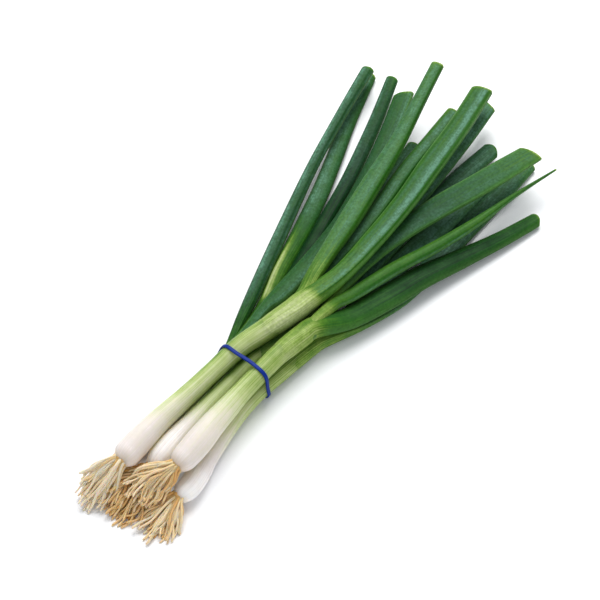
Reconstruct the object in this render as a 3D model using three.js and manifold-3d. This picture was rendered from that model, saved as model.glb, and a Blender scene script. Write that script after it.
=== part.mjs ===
// A tied bunch of five spring onions, lying on a flat surface. Millimetres.
// +X runs along the bunch from the roots to the leaf tips, +Y is to the left and +Z is up.
// The origin is under the middle of the bunch, on the surface that it lies on.

import * as THREE from 'three';
import * as BufferGeometryUtils from 'three/addons/utils/BufferGeometryUtils.js';
import Module from 'manifold-3d';

const wasm = await Module();
wasm.setup();

// ---- driving dimensions ----

const FLOOR = 0; // everything that reaches the surface is pressed flat on it
const GAP = 0.45; // clearance between pieces that touch
const LEAF_WALL = 0.75; // a leaf blade is a hollow tube with a wall this thick
const LEAF_SOLID_END = 0.1; // share of a leaf's length, at its base, that is not hollow

const STALK_SIDES = 12;
const STALK_RINGS = 22;
const LEAF_SIDES = 8;
const LEAF_RINGS = 11;

const BAND_X = -63.4; // where the rubber band's plane meets the surface
const BAND_LEAN = 0.04; // how far the band's plane moves along X for each millimetre of height
const BAND_WIDTH = 2.3;
const BAND_THICKNESS = 1.1;
const BAND_STEPS = 40;
const BAND_SECTION = [[1, -0.5], [1, 0.5], [0, 1], [-1, 0.5], [-1, -0.5], [0, -1]];
const BAND_SEARCH_STEP = 0.001; // share of a stalk's length, to find where the band crosses it

const PLATE_RADIUS = 4.1; // the disc of stem that a bulb's roots grow from
const PLATE_DEPTH = 2.6;
const PLATE_SIDES = 10;
const ROOT_COUNT = 10;
const ROOT_RADIUS = 0.85;
const ROOT_TIP_RADIUS = 0.6;
const ROOT_LIFT = 2; // how far a root arches above the straight line to its tip
const ROOT_WAVE = 1.1; // how far a root strays to one side on its way
const ROOT_OUTSET = 2.7; // how far from the disc's middle the outermost roots start
const UPPER_ROOT_HEIGHT = 1.2; // where the upper roots start, above the disc's middle
const UNDER_ROOT_HEIGHT = -1.8; // where the roots underneath start
const UNDER_ROOT_DROP = 2; // how much lower their tips are
const UNDER_ROOT_CUT = 0.16; // the share of their length that they lack
const ROOT_SIDES = 5;
const ROOT_RINGS = 4;

// A stalk is a bulb and its neck of rolled leaf bases: [x, y, z, radius] from the root end.
// Onions 1 and 3 lie on top, 2 is held between them, and 4 and 5 lie on the surface.
const stalks = {
  onion_1: [
    [-149, -2.5, 19.5, 4.6],
    [-146, -2.4, 19.5, 6.7],
    [-141, -2, 19.4, 7.3],
    [-131, -1.5, 19.3, 7.1],
    [-117, -1.2, 19, 6.3],
    [-98, -1.8, 18.5, 5.5],
    [-76, -2.4, 18.3, 5.3],
    [-56, -3.2, 18.5, 5.8],
    [-38, -7, 19, 6.3],
    [-20, -10.8, 19.8, 6.6],
    [-9, -12.5, 20.2, 6.8],
  ],
  onion_2: [
    [-138, -14, 10.8, 4.6],
    [-135, -14, 10.8, 6.3],
    [-129, -14, 10.8, 7.1],
    [-119, -13.2, 10.8, 6.9],
    [-106, -12, 10.5, 6.1],
    [-89, -11.2, 10, 5.5],
    [-70, -10.6, 9.2, 5.3],
    [-54, -10.3, 8.6, 5.2],
    [-36, -11.5, 7.4, 5.2],
    [-20, -12.5, 7.2, 5.2],
  ],
  onion_3: [
    [-132.5, -27, 19.6, 4.8],
    [-129.5, -27, 19.6, 6.7],
    [-124, -26.9, 19.7, 7.5],
    [-114, -26.2, 20, 7.7],
    [-103, -24.9, 19.6, 7.1],
    [-90, -23.9, 18.9, 6.4],
    [-76, -22.9, 18.4, 5.7],
    [-60, -22.5, 18, 5.6],
    [-44, -22.6, 17.8, 5.8],
    [-28, -24, 17, 5.9],
    [-16, -26, 15.8, 5.8],
  ],
  onion_4: [
    [-141, -34.6, 6.3, 4.4],
    [-138, -34.8, 6.3, 5.8],
    [-132, -34.8, 6.2, 6.5],
    [-124, -33.2, 6.1, 6.6],
    [-114, -30.4, 6, 6.1],
    [-102, -27.9, 6, 5.8],
    [-88, -25.5, 6.3, 5.6],
    [-74, -24.6, 6.7, 5.2],
    [-60, -25, 6.8, 5.1],
    [-44, -26.2, 6.2, 5.1],
    [-28, -27, 5.6, 5],
    [-13, -30.6, 5, 4.4],
  ],
  onion_5: [
    [-124, 3, 6.2, 4.2],
    [-121, 3, 6.1, 5.6],
    [-115, 3, 6, 6.3],
    [-107, 2.9, 6, 6.3],
    [-97, 2.6, 6.1, 5.7],
    [-82, 1.8, 6.4, 5.2],
    [-66, 1.6, 6.6, 5],
    [-54, 2.6, 6.4, 4.9],
    [-48, 3.6, 6.2, 4.8],
  ],
};

// A leaf is [x, y, z, width, height] from its base to its cut tip, and the skew of the cut.
const leaves = {
  onion_1_leaf_1: {
    skew: -0.5,
    route: [
      [-38, 3.6, 14, 4.5, 6],
      [-12, 4.8, 14, 9, 7],
      [17, 5, 14.6, 11, 7],
      [47, 8.4, 15.6, 11, 6.5],
      [78, 16, 16.8, 11, 6],
      [109, 26, 18, 11.5, 5.5],
      [140, 38, 19.5, 11, 5],
    ],
  },
  onion_1_leaf_2: {
    skew: 0,
    route: [
      [-6.4, -9.2, 24.4, 5, 5],
      [17, -1, 24.6, 9, 7.4],
      [44, 1.8, 25.8, 12, 7],
      [71, 7.4, 27.2, 12, 6.5],
      [100, 13.4, 29, 10, 6],
      [129, 21.2, 31, 8.6, 5.5],
      [161, 30.2, 33, 8, 5],
    ],
  },
  onion_1_leaf_3: {
    skew: 0,
    route: [
      [-7.5, -12.4, 15.4, 4.6, 3.4],
      [20, -7, 16.6, 7, 5],
      [44, -5, 17.6, 9, 5.5],
      [69, -2, 18.6, 10, 5.5],
      [95, 2, 19.6, 10, 5],
      [121, 4, 20.6, 9, 5],
      [147, 6.4, 21.6, 8, 4.6],
    ],
  },
  onion_1_leaf_4: {
    skew: -0.15,
    route: [
      [-8, -15.4, 22.4, 6.4, 8],
      [13, -17, 23.6, 11, 8],
      [42, -16.7, 25, 12, 7.6],
      [72, -14.6, 26.4, 13, 7.4],
      [102, -10.4, 27.6, 14, 7],
      [134, -6, 28.6, 13, 6.5],
      [165, 0.2, 29.4, 12.6, 6],
    ],
  },
  onion_2_leaf_1: {
    skew: 0,
    route: [
      [-19, -9.4, 8.4, 4, 5],
      [10, -5, 9, 7, 5],
      [44, 0.5, 9.4, 9, 5],
      [76, 5, 10, 9, 4.8],
      [98, 9, 10.4, 9, 4.6],
      [119.6, 13.4, 11, 8.5, 4.6],
    ],
  },
  onion_2_leaf_2: {
    skew: 0.3,
    route: [
      [-19, -13.6, 9, 3.6, 4.4],
      [20, -14, 10.8, 8, 4.4],
      [60, -13.8, 11.6, 10, 4.6],
      [95, -12, 12.6, 10.5, 4.6],
      [131, -8.4, 13.8, 10.5, 4.6],
      [168, -4, 15, 9.5, 4.4],
    ],
  },
  onion_2_leaf_3: {
    skew: 0.1,
    route: [
      [-19, -14, 4.6, 5, 3.6],
      [20, -17, 5.2, 9, 4.4],
      [60, -17.6, 5.8, 11, 4.6],
      [90, -18.2, 6.2, 11.5, 4.6],
      [120, -19.4, 6.6, 11.5, 4.6],
      [150, -22, 7, 11, 4.4],
    ],
  },
  onion_3_leaf_1: {
    skew: -0.4,
    route: [
      [-14.6, -22.4, 17, 3.4, 4],
      [28, -19.8, 16.2, 8, 4.4],
      [49, -20.4, 17, 11.2, 4.6],
      [70, -23.6, 17.8, 14.2, 4.8],
      [91, -29.2, 18.8, 15.4, 4.8],
      [111, -35.4, 19.8, 15.2, 4.8],
      [131, -41.2, 21, 14.6, 4.6],
      [151, -47, 22, 13.5, 4.4],
    ],
  },
  onion_3_leaf_2: {
    skew: 0,
    pointed: true,
    route: [
      [-15, -26.8, 18.4, 3.2, 3],
      [12, -26.6, 17, 5.5, 4.4],
      [40, -33.2, 15.6, 7, 4.6],
      [67, -42.4, 15, 7.4, 4.6],
      [95, -49.4, 15, 6, 4.2],
      [125, -55, 15, 3, 2.8],
      [155, -62, 15, 1.2, 1.2],
    ],
  },
  onion_3_leaf_3: {
    skew: 0.1,
    route: [
      [-15, -28.8, 13.2, 6, 5.4],
      [0, -34, 11.6, 13.6, 6.6],
      [24, -40.4, 9.6, 15.4, 6.4],
      [50, -46.6, 8.2, 15.2, 6],
      [75, -54.9, 6, 13, 5.6],
      [100, -63.4, 4, 10.4, 5],
      [127, -71.4, 2.2, 8.8, 4.8],
    ],
  },
  onion_4_leaf_1: {
    skew: 0,
    route: [
      [-12, -32, 4.6, 3.6, 4.4],
      [8, -39.4, 3.8, 8, 4.4],
      [34, -43.8, 2.2, 11, 3.6],
      [64, -43.8, 1.9, 12.4, 3.8],
      [95, -43, 1.9, 13, 4.2],
      [125, -43.2, 2, 12.6, 4.4],
      [157, -43, 2, 10, 4.4],
    ],
  },
  onion_4_leaf_2: {
    skew: 0,
    route: [
      [-10.6, -27.6, 5.2, 3, 4],
      [20, -28, 4.6, 7, 4.4],
      [50, -29.4, 3.6, 9, 4.4],
      [90, -30.6, 2.6, 9, 4.4],
      [130, -32.6, 2.2, 8, 4],
    ],
  },
  onion_5_leaf_1: {
    skew: -0.1,
    route: [
      [-47, 7, 6.8, 3.6, 5],
      [-36, 12.4, 7, 6.4, 6],
      [-19, 18.8, 7, 8, 6.4],
      [12, 29.9, 7.6, 8, 6],
      [44, 41.2, 8.6, 7.4, 5.6],
      [76, 51.6, 10, 7, 5.2],
      [110, 60.6, 12.2, 7, 5],
      [145, 69, 14.4, 7.6, 4.8],
    ],
  },
  onion_5_leaf_2: {
    skew: 0,
    route: [
      [-47, 3.4, 3.4, 3.4, 3],
      [-22, 9, 4, 6, 4.4],
      [4, 19, 4.4, 8.6, 5],
      [31, 27.6, 4.2, 11, 5.2],
      [58, 37.6, 3.6, 11.4, 5.2],
      [86, 48.8, 3, 10.4, 5],
      [115, 60.2, 2.4, 9.4, 5],
      [150, 71.4, 2.1, 8, 4.8],
    ],
  },
  onion_5_leaf_3: {
    skew: 0.1,
    route: [
      [-47, 1.4, 8, 3.2, 3],
      [-25, 3.4, 7.4, 6, 4.6],
      [0, 8.4, 7, 8, 5],
      [24, 14.4, 7.2, 9, 5],
      [49, 20.8, 8, 9, 5],
      [74, 27.2, 9, 8.8, 5],
      [99, 35.3, 10, 8.6, 4.8],
      [124, 44.1, 11, 8.2, 4.6],
      [150, 54.4, 12, 7.6, 4.4],
    ],
  },
};

// The tips of each tuft of roots lie along a curve through these points, from left to right.
const tufts = {
  onion_1: [[-165, 12, 14], [-174, 5, 4], [-163, -7, 1]],
  onion_2: [[-156, -11, 4], [-165, -15, 1], [-161, -23, 1]],
  onion_3: [[-150, -9.5, 14], [-158, -19, 10], [-157, -27.5, 9]],
  onion_4: [[-163, -27, 2], [-168, -39, 1], [-154, -47, 1]],
  onion_5: [[-143, 9, 2], [-149, 3, 1], [-143, -3, 1]],
};

const colours = {
  stalk: { color: 0xdfe6c4, roughness: 0.4, metalness: 0 },
  leaf: { color: 0x3f7a44, roughness: 0.45, metalness: 0 },
  roots: { color: 0xcdb27a, roughness: 0.8, metalness: 0 },
  band: { color: 0x2b46b8, roughness: 0.45, metalness: 0 },
};

// ---- geometry helpers ----

// A closed skin over a list of rings with the same number of points, with a flat cap at each end.
// Each ring turns from left to up to right, seen from the end of the list.
function loft(rings) {
  const sides = rings[0].length;
  const last = (rings.length - 1) * sides;
  const faces = [];
  for (let i = 0; i < rings.length - 1; i++) {
    for (let j = 0; j < sides; j++) {
      const a = i * sides + j;
      const b = i * sides + ((j + 1) % sides);
      faces.push(a, b, a + sides);
      faces.push(b, b + sides, a + sides);
    }
  }
  for (let j = 1; j < sides - 1; j++) {
    faces.push(0, j + 1, j);
    faces.push(last, last + j, last + j + 1);
  }
  const geometry = new THREE.BufferGeometry();
  const positions = rings.flat().flatMap((point) => point.toArray());
  geometry.setAttribute('position', new THREE.Float32BufferAttribute(positions, 3));
  geometry.setIndex(faces);
  return geometry;
}

// A skin over rings that run round in a loop, so it needs no caps.
function closedLoft(rings) {
  const sides = rings[0].length;
  const faces = [];
  for (let i = 0; i < rings.length; i++) {
    const here = i * sides;
    const next = ((i + 1) % rings.length) * sides;
    for (let j = 0; j < sides; j++) {
      const k = (j + 1) % sides;
      faces.push(here + j, here + k, next + j);
      faces.push(here + k, next + k, next + j);
    }
  }
  const geometry = new THREE.BufferGeometry();
  const positions = rings.flat().flatMap((point) => point.toArray());
  geometry.setAttribute('position', new THREE.Float32BufferAttribute(positions, 3));
  geometry.setIndex(faces);
  return geometry;
}

// A smooth rail through rows of numbers that start with x, y, z. It gives, for 0 to 1 along it,
// the centre, the directions along, to the left and up, and the rest of the row.
function rail(rows) {
  const centre = new THREE.CatmullRomCurve3(
    rows.map((row) => new THREE.Vector3(row[0], row[1], row[2])),
    false,
    'catmullrom',
  );
  const size = new THREE.CatmullRomCurve3(
    rows.map((row) => new THREE.Vector3(row[3], row[4] ?? row[3], 0)),
    false,
    'catmullrom',
  );
  return (share) => {
    const along = centre.getTangent(share);
    const left = new THREE.Vector3(0, 0, 1).cross(along).normalize();
    const up = along.clone().cross(left);
    const dimensions = size.getPoint(share);
    return { centre: centre.getPoint(share), along, left, up, dimensions };
  };
}

// One ring of a tube: an ellipse with its first point by the top, pressed flat on the floor.
function ellipseRing(frame, sides, acrossRadius, upRadius, skew = 0, floor = FLOOR) {
  const ring = [];
  for (let j = 0; j < sides; j++) {
    const angle = Math.PI / 2 + (2 * Math.PI * (j + 0.5)) / sides;
    const across = acrossRadius * Math.cos(angle);
    const point = frame.centre
      .clone()
      .addScaledVector(frame.left, across)
      .addScaledVector(frame.up, upRadius * Math.sin(angle))
      .addScaledVector(frame.along, skew * across);
    point.z = Math.max(point.z, floor);
    ring.push(point);
  }
  return ring;
}

function solidFrom(geometry) {
  const bare = geometry.clone();
  bare.deleteAttribute('normal');
  bare.deleteAttribute('uv');
  const merged = BufferGeometryUtils.mergeVertices(bare, 0.0001);
  const mesh = new wasm.Mesh({
    numProp: 3,
    vertProperties: new Float32Array(merged.attributes.position.array),
    triVerts: new Uint32Array(merged.index.array),
  });
  return new wasm.Manifold(mesh);
}

function geometryFrom(solid) {
  const mesh = solid.getMesh();
  const geometry = new THREE.BufferGeometry();
  geometry.setAttribute('position', new THREE.Float32BufferAttribute(mesh.vertProperties, 3));
  geometry.setIndex(Array.from(mesh.triVerts));
  return geometry;
}

// ---- the pieces ----

// A round tube through rows of x, y, z, radius.
function tubeGeometry(rows, sides, steps) {
  const frameAt = rail(rows);
  const rings = [];
  for (let i = 0; i <= steps; i++) {
    const frame = frameAt(i / steps);
    const radius = frame.dimensions.x;
    rings.push(ellipseRing(frame, sides, radius, radius));
  }
  return loft(rings);
}

// A hollow blade: the outside from base to tip, then the inside back again, open at the cut tip.
// A pointed blade has not been cut and is too thin to be hollow.
function leafGeometry({ route, skew, pointed }) {
  const frameAt = rail(route);
  const outside = [];
  const inside = [];
  for (let i = 0; i <= LEAF_RINGS; i++) {
    const share = i / LEAF_RINGS;
    const frame = frameAt(share);
    const across = frame.dimensions.x / 2;
    const up = frame.dimensions.y / 2;
    const cut = skew * share ** 4;
    outside.push(ellipseRing(frame, LEAF_SIDES, across, up, cut));
    if (!pointed && share >= LEAF_SOLID_END) {
      const innerAcross = across - LEAF_WALL;
      const innerUp = up - LEAF_WALL;
      const floor = FLOOR + LEAF_WALL;
      inside.unshift(ellipseRing(frame, LEAF_SIDES, innerAcross, innerUp, cut, floor));
    }
  }
  return loft([...outside, ...inside]);
}

// The support of a set of circles in one direction is the point where a tight band touches them.
function supportPoint(circles, direction, clearance) {
  let best = null;
  let farthest = -Infinity;
  for (const circle of circles) {
    const reach = circle.centre.dot(direction) + circle.radius;
    if (reach > farthest) {
      farthest = reach;
      best = circle;
    }
  }
  return best.centre.clone().addScaledVector(direction, best.radius + clearance);
}

// Each stalk's section where the band crosses it, in the plane of Y and Z.
function stalkCircle(rows) {
  const frameAt = rail(rows);
  let share = 0;
  let frame = frameAt(share);
  while (frame.centre.x < BAND_X + BAND_LEAN * frame.centre.z) {
    share += BAND_SEARCH_STEP;
    frame = frameAt(share);
  }
  return {
    centre: new THREE.Vector2(frame.centre.y, frame.centre.z),
    radius: frame.dimensions.x,
  };
}

function bandGeometry() {
  const circles = Object.values(stalks).map(stalkCircle);
  const rings = [];
  for (let i = 0; i < BAND_STEPS; i++) {
    const angle = (2 * Math.PI * i) / BAND_STEPS;
    const outward = new THREE.Vector2(Math.cos(angle), Math.sin(angle));
    const middle = supportPoint(circles, outward, GAP + BAND_THICKNESS / 2);
    const ring = [];
    for (const [across, out] of BAND_SECTION) {
      const y = middle.x + (outward.x * out * BAND_THICKNESS) / 2;
      const z = Math.max(middle.y + (outward.y * out * BAND_THICKNESS) / 2, FLOOR);
      const x = BAND_X + BAND_LEAN * middle.y + (across * BAND_WIDTH) / 2;
      ring.push(new THREE.Vector3(x, y, z));
    }
    rings.push(ring);
  }
  return closedLoft(rings);
}

// A low dome, turned to face the way the roots grow.
function plateGeometry(base) {
  const profile = [
    new THREE.Vector2(0, 0),
    new THREE.Vector2(PLATE_RADIUS * 0.9, 0),
    new THREE.Vector2(PLATE_RADIUS, PLATE_DEPTH * 0.4),
    new THREE.Vector2(PLATE_RADIUS * 0.6, PLATE_DEPTH),
    new THREE.Vector2(0, PLATE_DEPTH),
  ];
  const plate = new THREE.LatheGeometry(profile, PLATE_SIDES);
  plate.rotateZ(Math.PI / 2);
  plate.translate(base.x - GAP, base.y, base.z);
  return plate;
}

// One root, from the disc to its place along the tuft's curve of tips. Every second one lies
// underneath, is shorter and bends to the other side.
function rootRows(base, tips, index) {
  const share = index / (ROOT_COUNT - 1);
  const isUnder = index % 2 === 1;
  const start = base.clone();
  start.x -= GAP + PLATE_DEPTH / 2;
  start.y += ROOT_OUTSET * (1 - 2 * share);
  start.z += isUnder ? UNDER_ROOT_HEIGHT : UPPER_ROOT_HEIGHT;
  const tip = tips.getPoint(share);
  if (isUnder) {
    tip.lerp(start, UNDER_ROOT_CUT);
    tip.z -= UNDER_ROOT_DROP;
  }
  tip.z = Math.max(tip.z, FLOOR + ROOT_TIP_RADIUS);
  const wave = isUnder ? -ROOT_WAVE : ROOT_WAVE;
  const early = start.clone().lerp(tip, 1 / 3).add(new THREE.Vector3(0, wave, ROOT_LIFT));
  const late = start.clone().lerp(tip, 2 / 3).add(new THREE.Vector3(0, -wave, ROOT_LIFT / 2));
  return [
    [...start.toArray(), ROOT_RADIUS],
    [...early.toArray(), ROOT_RADIUS],
    [...late.toArray(), ROOT_RADIUS],
    [...tip.toArray(), ROOT_TIP_RADIUS],
  ];
}

function tuftGeometry(name) {
  const base = new THREE.Vector3(...stalks[name][0].slice(0, 3));
  const [left, middle, right] = tufts[name].map((point) => new THREE.Vector3(...point));
  const tips = new THREE.CatmullRomCurve3([left, middle, right]);
  let solid = solidFrom(plateGeometry(base));
  for (let i = 0; i < ROOT_COUNT; i++) {
    const root = tubeGeometry(rootRows(base, tips, i), ROOT_SIDES, ROOT_RINGS);
    solid = solid.add(solidFrom(root));
  }
  return geometryFrom(solid);
}

// ---- the bunch ----

const bunch = new THREE.Group();

function addPiece(name, geometry, look) {
  const mesh = new THREE.Mesh(geometry, new THREE.MeshStandardMaterial(look));
  mesh.name = name;
  bunch.add(mesh);
}

for (const [onion, rows] of Object.entries(stalks)) {
  addPiece(`${onion}_stalk`, tubeGeometry(rows, STALK_SIDES, STALK_RINGS), colours.stalk);
  addPiece(`${onion}_roots`, tuftGeometry(onion), colours.roots);
}
for (const [name, leaf] of Object.entries(leaves)) {
  addPiece(name, leafGeometry(leaf), colours.leaf);
}
addPiece('rubber_band', bandGeometry(), colours.band);

// The origin goes under the middle of the whole bunch.
const middle = new THREE.Box3().setFromObject(bunch).getCenter(new THREE.Vector3());
for (const mesh of bunch.children) {
  mesh.geometry.translate(-middle.x, -middle.y, 0);
}

export default bunch;
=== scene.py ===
import math

import bpy
import numpy as np
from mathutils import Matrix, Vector


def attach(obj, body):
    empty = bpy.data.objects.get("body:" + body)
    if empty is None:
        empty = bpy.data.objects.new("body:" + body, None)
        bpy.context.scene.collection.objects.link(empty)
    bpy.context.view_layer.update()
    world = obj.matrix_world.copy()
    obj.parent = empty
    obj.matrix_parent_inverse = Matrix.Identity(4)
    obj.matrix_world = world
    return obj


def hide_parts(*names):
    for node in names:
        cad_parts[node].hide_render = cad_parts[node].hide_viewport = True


# The looks of a tied bunch of five spring onions. Lengths are millimetres until a mesh is made.
# +X runs from the roots to the leaf tips, +Y is to the left and +Z is up.

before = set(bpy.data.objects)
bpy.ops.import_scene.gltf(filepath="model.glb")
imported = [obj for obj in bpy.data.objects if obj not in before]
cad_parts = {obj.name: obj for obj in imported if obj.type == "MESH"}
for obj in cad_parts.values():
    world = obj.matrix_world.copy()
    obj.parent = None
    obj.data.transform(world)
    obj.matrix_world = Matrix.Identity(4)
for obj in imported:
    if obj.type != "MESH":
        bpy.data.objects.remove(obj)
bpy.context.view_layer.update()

# ---- driving dimensions ----

MM = 0.001
MIDDLE = np.array([-2.719, -0.138, 0])  # the bunch's middle, in the coordinates of the routes below
FLOOR = 0
SEED = 11

CURVE_STEPS = 400  # how finely a stalk's curve is divided to find where it is at x
NEIGHBOUR_STEPS = 100  # and to find how near it another stalk is
GRAIN_STEP = 500  # how far apart two onions lie in the pattern of the veins
LEAF_GRAIN_STEPS = 7  # how many such steps apart an onion's leaves lie in it
ROOT_GRAIN_STEP = 3  # how many centimetres apart two roots lie in it

STALK_SIDES = 72
STALK_RINGS = 190
STALK_ROOM = 0.02  # the share of its radius that a stalk gives up for its flutes
STALK_END_TAPER = 9  # a neck narrows over this length inside the leaf that wraps its end
STALK_END_SHRINK = 1.3
BULB_END = [(1.6, 3), (0.9, 0.9)]  # how far back a bulb's end goes, and how much narrower it is
FLUTES = [(2, 0.02), (3, 0.014), (5, 0.009), (9, 0.005)]  # how many round a stalk, and how deep
FLUTE_TWIST = 0.008  # the most that a flute turns, in radians a millimetre
STAIN_REACH = 1.6  # the dried skin round the roots fades over this length
PAINTED_GLOW_REACH = 1.5  # the painted glow between two stalks fades over this gap
PAINTED_GLOW_FADE = (0.2, 0.5)  # and between these greens
PAINTED_GLOW_STRENGTH = 0.55
PAINTED_GLOW_GREEN = 0.1  # how much greener a neck is painted where it touches another, as painted light through its skin
PAINTED_GLOW_GREEN_FROM = (0.1, 0.3)  # that sets in between these greens

LEAF_SIDES = 72
LEAF_RINGS = 170
LEAF_WALL = 0.55
BORE_RINGS = 40
BORE_FROM = 0.55  # a leaf is open from its cut tip back to this share of its length
BORE_GREEN = 0.55
RIM_BULGE = 0.12  # how far the rounded rim of a cut stands past it
RIM_REACH = 0.8  # the pale rim fades over this length
RIM_PALER = 0.22
CUT_REACH = 4  # the curve of a cut fades over this length, as does the paler green beside it
CUT_PALER = 0.05
SECTION_POWER = 2.15  # 2 is an ellipse, and more is squarer
CREASE_POWER = 1.2  # how much squarer a leaf's section is at its crease
CREASE_REACH = 0.7  # how far round the leaf that goes, in radians
CREASE_FROM = (0.1, 0.3)  # a crease sets in between these shares of a leaf's length
CREST_HEIGHT = 0.05
CREST_REACH = 0.2
RIDGE_WANDER = 0.2
RIDGE_WAVES = 3
SWELLS = [(2, 0.02, 19), (3, 0.012, -11)]  # how many round a leaf, how high and how slow to turn
LEAFY_GREEN = (0.55, 0.75)  # a leaf's stripes set in between these greens
STREAK_FROM = (2, 10)  # a pale stripe sets in between these distances from a leaf's base
STREAK_SPREAD = 17
STREAK_STRENGTH = 0.32
WRAP_STEPS = [(32, -0.5), (24, 0.12), (12, 0.12), (3, 0)]  # back from a neck's end, and how proud

BAND_X = -63.4
BAND_LEAN = 0.04
BAND_WIDTH = 2.2
BAND_THICKNESS = 1.0
BAND_ROUNDING = 0.6  # 1 is an ellipse, and less is squarer
BAND_CLEARANCE = 0.08
BAND_STEPS = 240
BAND_SIDES = 16
BAND_SMOOTHING = 16  # how many times the loop's corners are eased
BAND_WANDERS = [(3, 0.25, 1), (7, 0.12, 0)]  # how many round the loop, how far, and their phase
BAND_ROW = 5  # the row of a stalk whose z is about that of where the band crosses it
TURN_STEPS = 721  # how finely a turn is divided to find which stalk the band touches

PLATE_RADIUS = 3.9
PLATE_DEPTH = 2.6
PLATE_INSET = 0.6  # how far inside the bulb the plate starts
PLATE_ROUNDING = 2.4
PLATE_TIP = 0.01  # the square of how narrow the plate's end is
PLATE_RINGS = 14
PLATE_SIDES = 32
PLATE_KNOBS = [(7, 0.03, 1), (11, 0.02, 0)]  # how many round it, how high, and their phase
PLATE_BROWN = 0.55

ROOT_SIDES = 8
ROOT_RINGS = 30
ROOTED_SHARE = 0.85  # the share of the plate's radius that roots grow from
ROOTED_WIDTH = 0.9
ROOTED_HEIGHT = 0.8
ROOT_TAPER = 0.25
ROOT_TIP = 0.5  # how thick a root's last ring is, beside the one before
ROOT_KNOBS = 0.12
CLUMP = 3  # how many roots hang together and bend alike
CLUMP_LAYERS = 3  # clumps lie in layers, each lower and shorter than the one above, and browner with painted shade
LAYER_DROP = 1.5
LAYER_SHRINK = 0.13
# painted shade: each lower layer of roots is browner
LAYER_PAINTED_SHADE = 0.17
TUFT_BROWN = 0.6
BASE_BROWN = 0.15  # how much browner a root is at the plate
CLUMP_SCATTER = [1.8, 0.8, 0.6]
ROOT_SCATTER = [1.6, 1.2, 0.7]
SHARE_SCATTER = 0.06
PHASE_SCATTER = 0.5
ROOT_WAVES = [(0.7, 1), (1.5, 0.45), (2.8, 0.14)]  # how often a root bends on its way, and how far
ROOT_RISE = 0.7  # how far a root bends up and down, beside how far to its sides

# A stalk is [x, y, z, radius] from the root end.
STALKS = {
    "onion_1": [
        [-149, -2.5, 19.5, 4.6],
        [-146, -2.4, 19.5, 6.7],
        [-141, -2, 19.4, 7.3],
        [-131, -1.5, 19.3, 7.1],
        [-117, -1.2, 19, 6.3],
        [-98, -1.8, 18.5, 5.5],
        [-76, -2.4, 18.3, 5.3],
        [-56, -3.2, 18.5, 5.8],
        [-38, -7, 19, 6.3],
        [-20, -10.8, 19.8, 6.6],
        [-9, -12.5, 20.2, 6.8],
    ],
    "onion_2": [
        [-138, -14, 10.8, 4.6],
        [-135, -14, 10.8, 6.3],
        [-129, -13.6, 11.1, 7.5],
        [-119, -12.8, 11.1, 7.2],
        [-106, -12, 10.5, 6.1],
        [-89, -11.2, 10, 5.5],
        [-70, -10.6, 9.2, 5.3],
        [-54, -10.3, 8.6, 5.2],
        [-36, -11.5, 7.4, 5.2],
        [-20, -12.5, 7.2, 5.2],
    ],
    "onion_3": [
        [-132.5, -27, 19.6, 4.8],
        [-129.5, -27, 19.6, 6.7],
        [-124, -26.9, 19.7, 7.5],
        [-114, -26.2, 20, 7.7],
        [-103, -24.9, 19.6, 7.1],
        [-90, -23.9, 18.9, 6.4],
        [-76, -22.9, 18.4, 5.7],
        [-60, -22.5, 18, 5.6],
        [-44, -22.6, 17.8, 5.8],
        [-28, -24, 17, 5.9],
        [-16, -26, 15.8, 5.8],
    ],
    "onion_4": [
        [-141, -34.6, 6.3, 4.4],
        [-138, -34.8, 6.3, 5.8],
        [-132, -34.8, 6.2, 6.5],
        [-124, -33.2, 6.1, 6.6],
        [-114, -30.4, 6, 6.1],
        [-102, -27.9, 6, 5.8],
        [-88, -25.5, 6.3, 5.6],
        [-74, -24.6, 6.7, 5.2],
        [-60, -25, 6.8, 5.1],
        [-44, -26.2, 6.2, 5.1],
        [-28, -27, 5.6, 5],
        [-13, -30.6, 5, 4.4],
    ],
    "onion_5": [
        [-124, 3, 6.2, 4.2],
        [-121, 3, 6.1, 5.6],
        [-115, 3, 6, 6.3],
        [-107, 2.9, 6, 6.3],
        [-97, 2.6, 6.1, 5.7],
        [-82, 1.8, 6.4, 5.2],
        [-66, 1.6, 6.6, 5],
        [-54, 2.6, 6.4, 4.9],
        [-48, 3.6, 6.2, 4.8],
    ],
}

# How green a stalk is at each x: 0 is the white of a bulb and 1 the deepest leaf green.
STALK_GREEN = {
    "onion_1": [
        (-150, 0.05), (-128, 0.08), (-112, 0.2), (-96, 0.31), (-70, 0.41), (-40, 0.43), (-5, 0.54),
    ],
    "onion_2": [(-140, 0.01), (-120, 0.03), (-108, 0.1), (-92, 0.34), (-70, 0.45), (-20, 0.6)],
    "onion_3": [
        (-134, 0.05), (-112, 0.1), (-102, 0.15), (-92, 0.24), (-82, 0.35), (-68, 0.45),
        (-42, 0.5), (-28, 0.6), (-15, 0.72),
    ],
    "onion_4": [
        (-142, 0), (-128, 0.01), (-112, 0.06), (-98, 0.2), (-84, 0.33), (-66, 0.45),
        (-40, 0.52), (-13, 0.52),
    ],
    "onion_5": [(-125, 0), (-110, 0.1), (-95, 0.3), (-75, 0.5), (-48, 0.62)],
}

# A neck is greener than its own green, a little all round and most of all on its two flanks and on its
# left, which is painted shade; this leaves a paler painted highlight along its top.
NECK_GREEN_AND_SHADE = {"onion_1": 0.22, "onion_2": 0.2, "onion_3": 0.08, "onion_4": 0.15, "onion_5": 0.2}
NECK_FROM = (0.05, 0.35)  # this sets in between these greens
NECK_TO = (0.5, 0.68)  # and fades between these
NECK_SHARE = 0.12  # the share of NECK_GREEN_AND_SHADE that is added all round
NECK_SHADE_SIDES = [(2, 0.35, 0.5), (1, 0.18, 0.6)]  # on how many sides, how much and at what angle: the painted shade and highlight
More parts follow.
